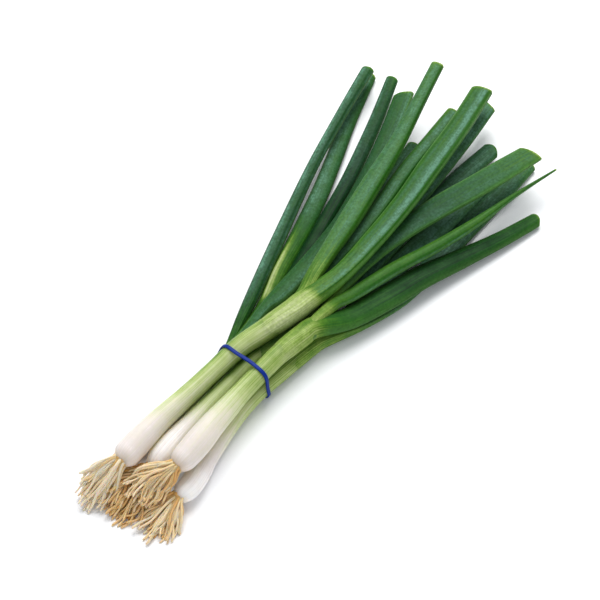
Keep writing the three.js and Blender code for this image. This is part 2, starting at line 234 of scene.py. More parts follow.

# A leaf's route is [x, y, z, width, height] from its base to its cut tip, and neck is how it runs
# back into its neck. green is how green it is at each distance from its base, ridge the angle of
# its crease, skew the slant of its cut and rounding the cut's curve, where they aren't 0 and 1 mm.
# The neck turns into the leaf with wraps, and a pointed leaf has no cut. streak is the angle and
# length of a pale stripe. bloom_and_highlight, painted_shade and painted_edge_light are stripes,
# each with its angle and spread in degrees and its strength: a blue waxy bloom, which is a painted
# highlight where it is strong, painted shade on a flank turned from the light, and painted light
# along the edges. waxy_from says between which distances the bloom sets in.
LEAVES = {
    "onion_1_leaf_1": {
        "skew": -0.5, "ridge": 105,
        "painted_shade": [[80, 16, 0.5]],
        "bloom_and_highlight": [[126, 22, 0.5], [100, 60, 0.2]],
        "painted_edge_light": [[158, 30, 0.9]],
        "green": [
            (-42, 0.45), (-30, 0.62), (-18, 0.75), (-6, 0.78), (30, 0.8), (60, 0.9), (110, 0.9),
            (150, 0.86), (180, 0.82),
        ],
        "neck": [[-66, -0.5, 16.5, 4, 7], [-54, 0.4, 15.5, 5, 8], [-42, 2, 14.5, 6, 8]],
        "route": [
            [-26, 4.4, 14, 7, 7],
            [-12, 3.9, 14, 11, 7],
            [17, 5, 14.6, 11, 7],
            [47, 8.4, 15.6, 11, 6.5],
            [78, 16, 16.8, 11, 6],
            [109, 26, 18, 11.5, 5.5],
            [140, 38, 19.5, 11, 5],
        ],
    },
    "onion_1_leaf_2": {
        "rounding": 0.5, "ridge": 135,
        "painted_shade": [[128, 15, 0.85], [148, 12, 0.5]],
        "painted_edge_light": [[86, 12, 0.15], [168, 20, 0.3]],
        "bloom_and_highlight": [[40, 36, 0.3], [94, 24, 0.35]],
        "green": [(-12, 0.52), (-2, 0.58), (12, 0.64), (40, 0.71), (80, 0.75), (130, 0.75), (170, 0.72)],
        "neck": [[-36, -8, 19.6, 6, 7], [-22, -9.6, 20.8, 7.4, 7.6], [-8, -9, 22, 8.4, 7.6]],
        "route": [
            [2, -6.4, 23.4, 8.8, 7.4],
            [17, -3.4, 24.4, 10, 7.4],
            [44, 1.8, 25.8, 12.6, 7],
            [71, 7.4, 27.2, 12, 6.5],
            [100, 13.4, 29, 10, 6],
            [129, 21.2, 31, 8.6, 5.5],
            [161, 30.2, 33, 8, 5],
        ],
    },
    "onion_1_leaf_3": {
        "ridge": 110,
        "bloom_and_highlight": [[92, 26, 0.42]],
        "painted_shade": [[130, 18, 0.8]],
        "green": [(-20, 0.72), (10, 0.8), (60, 0.8), (110, 0.77), (160, 0.74)],
        "neck": [[-34, -8, 18, 6, 6], [-20, -11, 17, 6, 5]],
        "route": [
            [-7.5, -12.4, 15.4, 4.6, 3.4],
            [20, -7, 16.6, 7, 5],
            [44, -5, 17.6, 9, 5.5],
            [69, -2, 18.6, 10, 5.5],
            [95, 2, 19.6, 10, 5],
            [121, 4, 20.6, 9, 5],
            [147, 6.4, 21.6, 8, 4.6],
        ],
    },
    "onion_1_leaf_4": {
        "skew": -0.15, "rounding": 0.6, "ridge": 128, "wraps": True,
        "bloom_and_highlight": [[106, 14, 0.9], [68, 12, 0.2]],
        "painted_shade": [[129, 10, 1]],
        "painted_edge_light": [[158, 17, 0.7], [28, 14, 0.5]],
        "green": [
            (-54, 0.4), (-34, 0.4), (-26, 0.42), (-22, 0.48), (-17, 0.62), (-10, 0.66), (6, 0.69),
            (30, 0.74), (60, 0.77), (120, 0.77), (180, 0.75),
        ],
        "route": [
            [13, -17, 23.6, 11, 8],
            [42, -16.7, 25, 12, 7.6],
            [72, -14.6, 26.4, 13, 7.4],
            [102, -10.4, 27.6, 14, 7],
            [134, -6, 28.6, 13, 6.5],
            [165, 0.2, 29.4, 12.6, 6],
        ],
    },
    "onion_2_leaf_1": {
        "rounding": 1.5, "ridge": 110,
        "bloom_and_highlight": [[100, 60, 0.45]],
        "green": [(-10, 0.7), (15, 0.84), (60, 0.88), (150, 0.84)],
        "neck": [[-46, -10.5, 8, 4, 5], [-32, -10, 8, 4, 5]],
        "route": [
            [-19, -9.4, 8.4, 4, 5],
            [10, -5, 9, 7, 5],
            [44, 0.5, 9.4, 9, 5],
            [76, 5, 10, 9, 4.8],
            [98, 9, 10.4, 9, 4.6],
            [119.6, 13.4, 11, 8.5, 4.6],
        ],
    },
    "onion_2_leaf_2": {
        "skew": 0.3, "rounding": 0, "ridge": 95, "wraps": True,
        "bloom_and_highlight": [[105, 60, 0.6]],
        "painted_edge_light": [[168, 20, 0.3]],
        "green": [(-20, 0.6), (12, 0.72), (50, 0.8), (120, 0.8), (190, 0.77)],
        "route": [
            [20, -14, 10.8, 8, 4.4],
            [60, -13.8, 11.6, 10, 4.6],
            [95, -12, 12.6, 10.5, 4.6],
            [131, -8.4, 13.8, 10.5, 4.6],
            [168, -4, 15, 9.5, 4.4],
        ],
    },
    "onion_2_leaf_3": {
        "skew": 0.1, "rounding": 3, "ridge": 125,
        "bloom_and_highlight": [[120, 80, 0.36]],
        "painted_edge_light": [[170, 25, 0.35]],
        "green": [(-10, 0.6), (15, 0.8), (60, 0.88), (120, 0.93), (170, 0.92)],
        "neck": [[-46, -11.5, 6, 5, 4], [-32, -12.5, 5, 5, 4]],
        "route": [
            [-19, -14, 4.6, 6, 3.6],
            [20, -18, 5.2, 11.5, 4.4],
            [60, -17.8, 5.8, 12, 4.6],
            [90, -18.4, 6.2, 12.4, 4.6],
            [120, -19.4, 6.6, 11.5, 4.6],
            [150, -22, 7, 11, 4.4],
        ],
    },
    "onion_3_leaf_1": {
        "skew": -0.4, "ridge": 148,
        "bloom_and_highlight": [[118, 24, 0.25], [60, 30, 0.2]],
        "painted_shade": [[140, 9, 0.3]],
        "painted_edge_light": [[165, 22, 0.7], [30, 14, 0.45]],
        "green": [
            (-14, 0.58), (14, 0.6), (40, 0.7), (60, 0.82), (100, 0.89), (125, 0.83), (145, 0.77),
            (168, 0.72),
        ],
        "neck": [[-40, -22, 18.4, 5, 5], [-27, -22.4, 17.6, 5, 5]],
        "route": [
            [-14.6, -22.4, 17, 3.4, 4],
            [28, -19.8, 16.2, 8, 4.4],
            [49, -20.4, 17, 11.2, 4.6],
            [70, -23.6, 17.8, 14.2, 4.8],
            [91, -29.2, 18.8, 15.4, 4.8],
            [111, -35.4, 19.8, 15.2, 4.8],
            [131, -41.2, 21, 14.6, 4.6],
            [151, -47, 22, 13.5, 4.4],
        ],
    },
    "onion_3_leaf_2": {
        "rounding": 0, "ridge": 105, "pointed": True,
        "bloom_and_highlight": [[155, 18, 0.4]],
        "painted_shade": [[115, 34, 0.5]],
        "painted_edge_light": [[84, 8, 0.4], [172, 20, 0.5]],
        "green": [(-20, 0.5), (-5, 0.58), (3, 0.69), (12, 0.74), (60, 0.73), (170, 0.74)],
        "neck": [[-38, -23.5, 19, 6, 6], [-26, -24.2, 19.4, 6, 6], [-12, -24.2, 19, 6.4, 6]],
        "route": [
            [0, -24.8, 17.6, 7, 5.6],
            [12, -28, 16.6, 8, 4.6],
            [40, -34, 15.4, 8.4, 4.6],
            [67, -42.4, 15, 7.6, 4.6],
            [95, -49.4, 15, 6, 4.2],
            [125, -55, 15, 3, 2.8],
            [155, -62, 15, 1.2, 1.2],
        ],
    },
    "onion_3_leaf_3": {
        "skew": 0.1, "rounding": 2, "ridge": 110, "wraps": True,
        "painted_edge_light": [[168, 40, 0.38], [28, 28, 0.25]],
        "green": [
            (-48, 0.48), (-24, 0.54), (-20, 0.61), (-13, 0.76), (10, 0.81), (40, 0.91), (90, 0.92),
            (110, 0.88), (150, 0.82),
        ],
        "route": [
            [0, -34, 11.6, 13.6, 6.6],
            [24, -40.4, 9.6, 15.4, 6.4],
            [50, -46.6, 8.2, 15.2, 6],
            [75, -54.9, 6, 13, 5.6],
            [100, -63, 4.2, 10.4, 5],
            [128, -70.4, 2.5, 8.8, 4.8],
        ],
    },
    "onion_4_leaf_1": {
        "ridge": 115, "wraps": True,
        "bloom_and_highlight": [[100, 90, 0.35]],
        "painted_edge_light": [[172, 25, 0.4]],
        "green": [
            (-50, 0.55), (-20, 0.6), (8, 0.66), (40, 0.86), (60, 0.98), (90, 0.93), (130, 0.84),
            (180, 0.76),
        ],
        "route": [
            [8, -39.4, 3.8, 8, 4.4],
            [34, -43.8, 2.2, 11, 3.6],
            [64, -43.8, 1.9, 12.4, 3.8],
            [95, -43, 1.9, 13, 4.2],
            [125, -43.2, 2, 12.6, 4.4],
            [157, -43, 2, 10, 4.4],
        ],
    },
    "onion_4_leaf_2": {
        "ridge": 100,
        "bloom_and_highlight": [[110, 90, 0.6]],
        "green": [(-10, 0.6), (15, 0.7), (60, 0.78), (110, 0.76), (150, 0.73)],
        "neck": [[-38, -26.5, 6, 4, 5], [-24, -27, 5.6, 4, 5]],
        "route": [
            [-10.6, -27.6, 5.2, 3, 4],
            [20, -28.6, 4.6, 8, 4.4],
            [50, -29.6, 4, 13, 4.4],
            [90, -30.8, 3.4, 13, 4.4],
            [130, -32.8, 2.4, 9, 4],
        ],
    },
    "onion_5_leaf_1": {
        "skew": -0.1, "ridge": 110,
        "painted_edge_light": [[170, 18, 0.6]],
        "waxy_from": [-8, 36],
        "bloom_and_highlight": [[64, 26, 0.75], [150, 24, 0.42]],
        "green": [(-38, 0.45), (-28, 0.6), (-16, 0.75), (-6, 0.8), (20, 0.88), (60, 0.89), (210, 0.88)],
        "neck": [[-68, 2.4, 6.6, 4, 6], [-57, 5, 6.6, 5, 6], [-46, 9.2, 6.8, 5.4, 6]],
        "route": [
            [-36, 13, 7, 6.4, 6],
            [-19, 18.8, 7, 8, 6.4],
            [12, 29.9, 7.6, 8, 6],
            [44, 41.2, 8.6, 7.4, 5.6],
            [76, 51.6, 10, 7, 5.2],
            [110, 60.6, 12.2, 7, 5],
            [145, 69, 14.4, 7.6, 4.8],
        ],
    },
    "onion_5_leaf_2": {
        "ridge": 100, "wraps": True,
        "streak": [72, 64],
        "waxy_from": [50, 90],
        "bloom_and_highlight": [[72, 26, 0.6], [115, 34, 0.3]],
        "painted_shade": [[118, 30, 0.5], [168, 20, 0.4]],
        "green": [
            (-54, 0.5), (-42, 0.58), (-28, 0.69), (3, 0.69), (12, 0.66), (40, 0.72), (70, 0.82),
            (110, 0.8), (150, 0.78), (210, 0.77),
        ],
        "route": [
            [-22, 9.8, 4, 8.4, 4.4],
            [4, 19, 4.4, 9.6, 5],
            [31, 26.6, 4.2, 11, 5.2],
            [58, 35.8, 3.6, 11, 5.2],
            [86, 47, 3, 10.4, 5],
            [115, 59.2, 2.4, 9.8, 5],
            [150, 71.4, 2.1, 8, 4.8],
        ],
    },
    "onion_5_leaf_3": {
        "skew": 0.1, "ridge": 110,
        "waxy_from": [90, 150],
        "bloom_and_highlight": [[50, 25, 0.36], [110, 60, 0.1]],
        "painted_edge_light": [[172, 16, 0.4]],
        # its green deepens along its middle partly as painted shade from the leaves that lie over it
        "green": [(-20, 0.7), (10, 0.88), (60, 0.96), (120, 0.97), (160, 0.92), (200, 0.89)],
        "neck": [[-66, 1.6, 6.8, 4, 4], [-57, 1.6, 7.4, 4, 4]],
        "route": [
            [-47, 1.4, 8, 3.2, 3],
            [-25, 3.4, 7.4, 6, 4.6],
            [0, 8.4, 7, 8, 5],
            [24, 14.4, 7.2, 9, 5],
            [49, 20.8, 8, 9, 5],
            [74, 27.2, 9, 8.8, 5],
            [99, 35.3, 10, 8.6, 4.8],
            [124, 44.1, 11, 8.2, 4.6],
            [150, 54.4, 12, 7.6, 4.4],
        ],
    },
}

# The tips of a tuft of roots lie along a curve through these points, from left to right. thick is
# a root's radius, curl how far it strays on its way, and brown_and_shade how dark the tuft is.
TUFTS = {
    "onion_1": {
        "count": 111, "thick": 0.82, "curl": 1.2, "brown_and_shade": 0.05,
        "tips": [[-166, 10, 12], [-174, 3, 3], [-168, -8, 1]],
    },
    "onion_2": {
        "count": 180, "thick": 0.74, "curl": 2.4, "brown_and_shade": 0.6,
        "tips": [[-153, -4, 13], [-169, -11, 2], [-168, -25, 1]],
    },
    "onion_3": {
        "count": 141, "thick": 0.74, "curl": 2.2, "brown_and_shade": 0.25,
        "tips": [[-150, -9.5, 14], [-159, -19, 10], [-153, -30, 6]],
    },
    "onion_4": {
        "count": 120, "thick": 0.74, "curl": 1.5, "brown_and_shade": 0.3,
        "tips": [[-161, -21, 3], [-168, -37, 1], [-156, -46, 1]],
    },
    "onion_5": {
        "count": 30, "thick": 0.76, "curl": 1, "brown_and_shade": 0.5,
        "tips": [[-143, 9, 2], [-149, 3, 1], [-143, -3, 1]],
    },
}

# ---- curves and meshes ----


def spline(rows, shares):
    """A smooth curve through rows of numbers, at shares from 0 to 1 along it."""
    rows = np.asarray(rows, float)
    before = 2 * rows[0] - rows[1]
    after = 2 * rows[-1] - rows[-2]
    padded = np.vstack([before, rows, after])
    place = np.clip(shares, 0, 1) * (len(rows) - 1)
    first = np.minimum(place.astype(int), len(rows) - 2)
    t = (place - first)[:, None]
    start, end = padded[first + 1], padded[first + 2]
    leaving = (end - padded[first]) / 2
    arriving = (padded[first + 3] - start) / 2
    return (
        (2 * t**3 - 3 * t**2 + 1) * start
        + (t**3 - 2 * t**2 + t) * leaving
        + (3 * t**2 - 2 * t**3) * end
        + (t**3 - t**2) * arriving
    )


def unit(vectors):
    """The vectors at length 1."""
    return vectors / np.linalg.norm(vectors, axis=-1, keepdims=True)


def directions(centres):
    """The directions along a line of points, to its left and up from it, at each point."""
    along = unit(np.gradient(centres, axis=0))
    left = unit(np.cross([0, 0, 1], along))
    return along, left, np.cross(along, left)


def distances(centres):
    """How far along a line each of its points is."""
    steps = np.linalg.norm(np.diff(centres, axis=0), axis=1)
    return np.concatenate([[0], np.cumsum(steps)])


def smooth_step(values, low, high):
    """0 below low, 1 above high and a smooth rise between them."""
    t = np.clip((values - low) / (high - low), 0, 1)
    return t * t * (3 - 2 * t)


def angles(sides):
    """The angles of the points of a ring, from its left and up over its top."""
    return np.linspace(0, 2 * math.pi, sides, endpoint=False)


def round_rings(centres, reach, theta):
    """Rings of points round a line, as far from it as reach says, at the angles theta."""
    _, left, up = directions(centres)
    return (
        centres[:, None]
        + left[:, None] * (np.cos(theta) * reach)[..., None]
        + up[:, None] * (np.sin(theta) * reach)[..., None]
    )


def squarish(theta, power):
    """How far across and up a section of half sizes 1 is at each angle: an ellipse where power is 1."""
    cos, sin = np.cos(theta), np.sin(theta)
    return np.sign(cos) * np.abs(cos) ** power, np.sign(sin) * np.abs(sin) ** power


def waves(theta, listed):
    """The sum of waves round a ring, where each is how many there are, how high and its phase."""
    return sum(height * np.sin(count * theta + phase) for count, height, phase in listed)


def skin_faces(ring_count, sides, closed=False):
    """The faces between each ring of points and the next, and back to the first one if closed."""
    faces = []
    for i in range(ring_count if closed else ring_count - 1):
        here, there = i * sides, (i + 1) % ring_count * sides
        for j in range(sides):
            k = (j + 1) % sides
            faces.append((here + j, here + k, there + k, there + j))
    return faces


def joined(meshes):
    """Several meshes' points and faces as one mesh's."""
    all_points, all_faces = [], []
    count = 0
    for points, faces in meshes:
        all_points.append(points)
        all_faces += [tuple(count + k for k in face) for face in faces]
        count += len(points)
    return np.concatenate(all_points), all_faces


def tube_mesh(rings):
    """The points and faces of a tube through rings of points, closed by a face at each end."""
    ring_count, sides = rings.shape[:2]
    faces = skin_faces(ring_count, sides)
    last = (ring_count - 1) * sides
    faces.append(tuple(reversed(range(sides))))
    faces.append(tuple(range(last, last + sides)))
    return rings.reshape(-1, 3), faces


def add_object(name, data):
    """A new object in the scene."""
    added = bpy.data.objects.new(name, data)
    bpy.context.scene.collection.objects.link(added)
    return added


def make_piece(name, points, faces, attributes, material, nodes):
    """A smooth mesh object, on the one body, that stands for the CAD nodes."""
    mesh = bpy.data.meshes.new(name)
    mesh.from_pydata(((points - MIDDLE) * MM).tolist(), [], faces)
    mesh.shade_smooth()
    for key, values in attributes.items():
        kind, field = ("FLOAT", "value") if values.ndim == 1 else ("FLOAT_VECTOR", "vector")
        layer = mesh.attributes.new(key, kind, "POINT")
        layer.data.foreach_set(field, values.astype(np.float32).ravel())
    mesh.materials.append(material)
    piece = add_object(name, mesh)
    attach(piece, "root")
    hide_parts(*nodes)


def grain_of(theta, along):
    """Where each point is round its tube and along it in centimetres, for streaks with no seam."""
    ring = np.stack([np.cos(theta), np.sin(theta)], -1)
    around = np.broadcast_to(ring, (len(along), len(theta), 2))
    length = np.broadcast_to(along[:, None, None] / 10, (len(along), len(theta), 1))
    return np.concatenate([around, length], -1).reshape(-1, 3)


# ---- materials ----


def linear(red, green, blue):
    """An sRGB colour of 0 to 255 as Blender's linear colour."""

    def channel(value):
        value /= 255
        return value / 12.92 if value <= 0.04045 else ((value + 0.055) / 1.055) ** 2.4

    return channel(red), channel(green), channel(blue), 1


class Nodes:
    """Short ways to add and join the nodes of one material."""

    def __init__(self, name):
        self.material = bpy.data.materials.new(name)
        self.material.use_nodes = True
        self.tree = self.material.node_tree

    def set(self, node, inputs):
        """Gives each of a node's inputs its value, or joins it to the output that it comes from."""
        for key, value in inputs.items():
            if isinstance(value, bpy.types.NodeSocket):
                self.tree.links.new(value, node.inputs[key])
            else:
                node.inputs[key].default_value = value

    def add(self, kind, inputs, output):
        """One output of a new node."""
        node = self.tree.nodes.new(kind)
        self.set(node, inputs)
        return node.outputs[output]

    def finish(self, inputs):
        """The material, once the inputs of its shader are set."""
        self.set(self.tree.nodes["Principled BSDF"], inputs)
        return self.material

    def attribute(self, name, output="Fac"):
        node = self.tree.nodes.new("ShaderNodeAttribute")
        node.attribute_name = name
        return node.outputs[output]

    def noise(self, vector, scale, detail):
        inputs = {"Vector": vector, "Scale": scale, "Detail": detail, "Roughness": NOISE_ROUGHNESS}
        return self.add("ShaderNodeTexNoise", inputs, "Fac")

    def streaks(self, scale, detail):
        """A noise along a piece's grain, as fine round it and along it as scale says."""
        grain = self.attribute("grain", "Vector")
        stretched = self.add("ShaderNodeMapping", {"Vector": grain, "Scale": scale}, "Vector")
        return self.noise(stretched, 1, detail)

    def maths(self, operation, *terms):
        node = self.tree.nodes.new("ShaderNodeMath")
        node.operation = operation
        self.set(node, dict(enumerate(terms)))
        return node.outputs[0]

    def spread(self, value, low, high, new_low, new_high):
        inputs = {"Value": value, "From Min": low, "From Max": high}
        inputs |= {"To Min": new_low, "To Max": new_high}
        return self.add("ShaderNodeMapRange", inputs, "Result")

    def vary(self, noise, low, high):
        """A noise spread from low to high."""
        return self.spread(noise, *NOISE_SPAN, low, high)

    def ramp(self, value, stops):
        node = self.tree.nodes.new("ShaderNodeValToRGB")
        self.set(node, {"Fac": value})
        elements = node.color_ramp.elements
        while len(elements) < len(stops):
            elements.new(0.5)
        for element, (place, colour) in zip(elements, stops):
            element.position = place
            element.color = linear(*colour)
        return node.outputs["Color"]

    def mix(self, share, first, second, blend="MIX"):
        node = self.tree.nodes.new("ShaderNodeMix")
        node.data_type = "RGBA"
        node.blend_type = blend
        self.set(node, {"Factor": share, "A": first, "B": second})
        return node.outputs["Result"]

    def shaded(self, colour, grey):
        """The colour times the grey."""
        return self.mix(1.0, colour, grey, "MULTIPLY")

    def bump(self, height, strength, distance_mm, under=None):
        inputs = {"Height": height, "Strength": strength, "Distance": distance_mm * MM}
        if under:
            inputs["Normal"] = under
        return self.add("ShaderNodeBump", inputs, "Normal")


NOISE_ROUGHNESS = 0.55
NOISE_SPAN = (0.3, 0.7)  # most of a noise lies between these
GREEN_STOPS = [
    (0, (246, 240, 236)),
    (0.05, (218, 209, 206)),
    (0.16, (210, 206, 186)),
    (0.32, (184, 194, 143)),
    (0.43, (160, 176, 109)),
    (0.52, (126, 151, 70)),
    (0.62, (74, 114, 32)),
    (0.75, (42, 88, 27)),
    (0.88, (17, 62, 18)),
    (1, (4, 38, 14)),
]
BROWN_STOPS = [
    (0, (242, 224, 196)),
    (0.3, (230, 198, 146)),
    (0.6, (206, 154, 80)),
    (0.85, (164, 108, 44)),
    (1, (112, 66, 26)),
]
STRIPES = {  # the colour of each stripe along a leaf, and the most that it covers the green
    "bloom_and_highlight": (linear(88, 130, 106), 0.95),  # blue and waxy, and a painted highlight where it is strong
    "painted_shade": (linear(24, 78, 4), 1),  # painted shade: the deep yellow-green of a flank turned from the light
    "painted_edge_light": (linear(86, 132, 66), 1),  # painted light: the lighter green along the edges
}
STAIN_COLOUR = linear(214, 184, 134)  # the dried skin round a bulb's roots
PAINTED_GLOW_COLOUR = linear(222, 214, 140)  # painted light that comes through the skins where two bulbs touch


def onion_skin(n, wander):
    """A skin's colour by how green it is, which wanders so much along its veins, and its patterns."""
    place = n.add("ShaderNodeTexCoord", {}, "Object")
    veins, fine_veins = n.streaks((9, 9, 0.18), 4), n.streaks((26, 26, 0.3), 2)
    mottle, speckle = n.noise(place, 130, 4), n.noise(place, 700, 3)
    streaks = n.maths("ADD", n.vary(veins, -wander, wander), n.vary(fine_veins, -0.025, 0.025))
    change = n.maths("ADD", streaks, n.vary(mottle, -0.035, 0.035))
    green = n.attribute("green")
    share = n.spread(green, 0, 0.2, 0.2, 1)
    colour = n.ramp(n.maths("MULTIPLY_ADD", change, share, green), GREEN_STOPS)
    return colour, veins, fine_veins, mottle, speckle


def stalk_skin(name):
    """Moist skin, from the white of the bulb to the green of the neck, with fine veins along it."""
    n = Nodes(name)
    colour, veins, fine_veins, mottle, speckle = onion_skin(n, 0.09)
    stain = n.maths("MULTIPLY", n.attribute("stain"), n.vary(mottle, 0.5, 1))
    # a painted glow of light through the skins where two stalks touch
    colour = n.mix(n.attribute("painted_glow"), colour, PAINTED_GLOW_COLOUR)
    colour = n.mix(stain, colour, STAIN_COLOUR)
    ribbed = n.spread(n.attribute("green"), 0, 0.3, 0.25, 1)
    relief = n.bump(n.maths("MULTIPLY", veins, ribbed), 0.35, 0.5)
    return n.finish({
        "Base Color": n.shaded(colour, n.spread(speckle, 0.35, 0.65, 0.98, 1.01)),
        "Roughness": n.vary(mottle, 0.36, 0.5),
        "Normal": n.bump(n.maths("MULTIPLY", fine_veins, ribbed), 0.3, 0.25, relief),
        "Subsurface Weight": 0.9,
        "Subsurface Radius": (1, 0.9, 0.75),
        "Subsurface Scale": 10 * MM,
        "Specular IOR Level": 0.2,
    })


def leaf_skin(name):
    """A leaf's green, with its veins, its waxy bloom and painted highlights, painted shade on a flank
    and painted light along its edges.
    """
    n = Nodes(name)
    colour, veins, fine_veins, mottle, speckle = onion_skin(n, 0.08)
    veined = n.spread(veins, 0.36, 0.64, 0.6, 1.4)
    broken = n.maths("MULTIPLY", n.spread(mottle, 0.36, 0.64, 0.6, 1.4), veined)
    broken = n.maths("MULTIPLY", n.spread(speckle, 0.35, 0.65, 0.76, 1.24), broken)
    textures = {"bloom_and_highlight": broken, "painted_shade": n.vary(fine_veins, 0.7, 1.2), "painted_edge_light": veined}
    # the stripes paint a highlight on the bloom, shade on a flank and light along the edges over the
    # green
    for stripe, (stripe_colour, most) in STRIPES.items():
        share = n.maths("MULTIPLY", n.attribute(stripe), textures[stripe])
        colour = n.mix(n.maths("MINIMUM", share, most), colour, stripe_colour)
    relief = n.bump(fine_veins, 0.3, 0.25, n.bump(veins, 0.35, 0.5))
    return n.finish({
        "Base Color": n.shaded(colour, n.spread(speckle, 0.35, 0.65, 0.86, 1.12)),
        "Roughness": n.vary(mottle, 0.36, 0.5),
        "Normal": n.bump(speckle, 0.15, 0.2, relief),
        "Subsurface Weight": 0.08,
        "Subsurface Radius": (0.9, 1, 0.5),
        "Subsurface Scale": 0.8 * MM,
        "Specular IOR Level": 0.06,
    })


def root_skin(name):
    """Dry root, from cream at the top of the tuft to brown inside it, where the brown is partly painted
    shade.
    """
    n = Nodes(name)
    fibres = n.streaks((4, 4, 1.2), 4)
    rings = n.streaks((0.5, 0.5, 14), 2)
    brown_and_shade = n.maths("ADD", n.attribute("brown_and_shade"), n.vary(fibres, -0.11, 0.11))
    return n.finish({
        "Base Color": n.ramp(brown_and_shade, BROWN_STOPS),
        "Roughness": n.vary(fibres, 0.6, 0.85),
        "Normal": n.bump(rings, 0.3, 0.15, n.bump(fibres, 0.5, 0.3)),
        "Subsurface Weight": 0.4,
        "Subsurface Radius": (1, 0.6, 0.25),
        "Subsurface Scale": 1.2 * MM,
    })


def band_rubber(name):
    """Blue rubber with a dusty, slightly uneven face."""
    n = Nodes(name)
    dust = n.streaks((3, 3, 2), 5)
    scratches = n.streaks((12, 12, 0.6), 3)
    colour = n.ramp(dust, [(0.3, (2, 28, 104)), (0.55, (3, 42, 132)), (0.75, (12, 62, 158))])
    return n.finish({
        "Base Color": colour,
        "Roughness": n.vary(dust, 0.34, 0.55),
        "Normal": n.bump(scratches, 0.3, 0.1),
        "Specular IOR Level": 0.12,
    })


def floor_paper(name):
    """Smooth white paper."""
    n = Nodes(name)
    place = n.add("ShaderNodeTexCoord", {}, "Object")
    colour = n.ramp(n.noise(place, 900, 3), [(0.3, (247, 247, 248)), (0.7, (249, 249, 250))])
    return n.finish({"Base Color": colour, "Roughness": 0.9})


STALK_SKIN = stalk_skin("stalk_skin")
LEAF_SKIN = leaf_skin("leaf_skin")
ROOT_SKIN = root_skin("root_skin")
BAND_RUBBER = band_rubber("band_rubber")

# ---- stalks ----


def stalk_at(onion, x):
    """A stalk's centre and radius at x."""
    line = spline(STALKS[onion], np.linspace(0, 1, CURVE_STEPS))
    return np.array([np.interp(x, line[:, 0], line[:, i]) for i in range(4)])


def closeness(onion, points):
    """How near each point is to the stalks beside its own, from 0 to 1 where they touch."""
    nearest = np.full(len(points), np.inf)
    for other, rows in STALKS.items():
        if other == onion:
            continue
        line = spline(rows, np.linspace(0, 1, NEIGHBOUR_STEPS))
        gaps = np.linalg.norm(points[:, None] - line[None, :, :3], axis=2) - line[None, :, 3]
        nearest = np.minimum(nearest, gaps.min(axis=1))
    return np.exp(-np.maximum(nearest, 0) / PAINTED_GLOW_REACH)


def neck_green_and_shade(onion, green, theta):
    """How much greener a neck is at each angle than its own green: painted shade on its flanks and left,
    and a paler painted highlight along its top.
    """
    neck = smooth_step(green, *NECK_FROM) * (1 - smooth_step(green, *NECK_TO))
    sides = sum(share * np.cos(count * (theta - angle)) for count, share, angle in NECK_SHADE_SIDES)
    return NECK_GREEN_AND_SHADE[onion] * neck * (NECK_SHARE + sides)


def stalk_rings(onion, rng):
    """The middle line of a bulb and its neck, and its rings, with the flutes of its leaf bases."""
    rows = STALKS[onion]
    root_end = np.array(rows[0], float)
    rounded = [root_end - [back, 0, 0, narrower] for back, narrower in BULB_END]
    line = spline([*rounded, *rows[1:]], np.linspace(0, 1, STALK_RINGS))
    centres, radius = line[:, :3], line[:, 3]
    length = distances(centres)
    theta = angles(STALK_SIDES)
    radius = radius - STALK_END_SHRINK * (1 - smooth_step(length[-1] - length, 0, STALK_END_TAPER))
    flutes = np.zeros((STALK_RINGS, STALK_SIDES))
    for lobes, depth in FLUTES:
        turn = rng.uniform(0, 2 * math.pi) + rng.uniform(-FLUTE_TWIST, FLUTE_TWIST) * length[:, None]
        flutes += depth * np.sin(lobes * theta + turn)
    rings = round_rings(centres, radius[:, None] * (1 + flutes - STALK_ROOM), theta)
    rings[..., 2] = np.maximum(rings[..., 2], FLOOR)
    return centres, rings


def make_stalk(onion, rng):
    """One bulb and its neck, from its white root end to its green top."""
    centres, rings = stalk_rings(onion, rng)
    theta = angles(STALK_SIDES)
    green = np.interp(centres[:, 0], *zip(*STALK_GREEN[onion]))[:, None]
    # painted shade on the neck's flanks and left, and a paler painted highlight along its top
    green = (green + neck_green_and_shade(onion, green, theta)).ravel()
    points, faces = tube_mesh(rings)
    # where stalks touch, painted light through their skins: a yellow glow on the bulbs and a deeper
    # green on the necks
    near = closeness(onion, points)
    attributes = {
        "grain": grain_of(theta, centres[:, 0] + GRAIN_STEP * int(onion[-1])),
        "green": green + PAINTED_GLOW_GREEN * smooth_step(green, *PAINTED_GLOW_GREEN_FROM) * near,
        "stain": np.repeat(np.exp(-distances(centres) / STAIN_REACH), STALK_SIDES),
        "painted_glow": PAINTED_GLOW_STRENGTH * (1 - smooth_step(green, *PAINTED_GLOW_FADE)) * near,
    }
    name = f"stalk_{onion[-1]}"
    make_piece(name, points, faces, attributes, STALK_SKIN, [f"{onion}_stalk"])


# ---- leaves ----


def leaf_rows(name, leaf):
    """All the rows of a leaf, from inside its neck to its tip."""
    if not leaf.get("wraps"):
        return leaf["neck"] + leaf["route"]
    onion = name[:7]
    rows = []
    for back, growth in WRAP_STEPS:
        x, y, z, radius = stalk_at(onion, STALKS[onion][-1][0] - back)
        rows.append([x, y, z, 2 * (radius + growth), 2 * (radius + growth)])
    return rows + leaf["route"]


def apart_from(theta, middle):
    """The angle between each point round a ring and the middle of a ridge or stripe."""
    return np.abs(np.angle(np.exp(1j * (theta - middle))))


def stripes(theta, listed):
    """How strong a leaf's stripes are at each angle, where each is its middle, spread and strength."""
    total = np.zeros(len(theta))
    for middle, spread, strength in listed:
        apart = np.degrees(apart_from(theta, math.radians(middle)))
        total += strength * np.exp(-((apart / spread) ** 2))
    return total


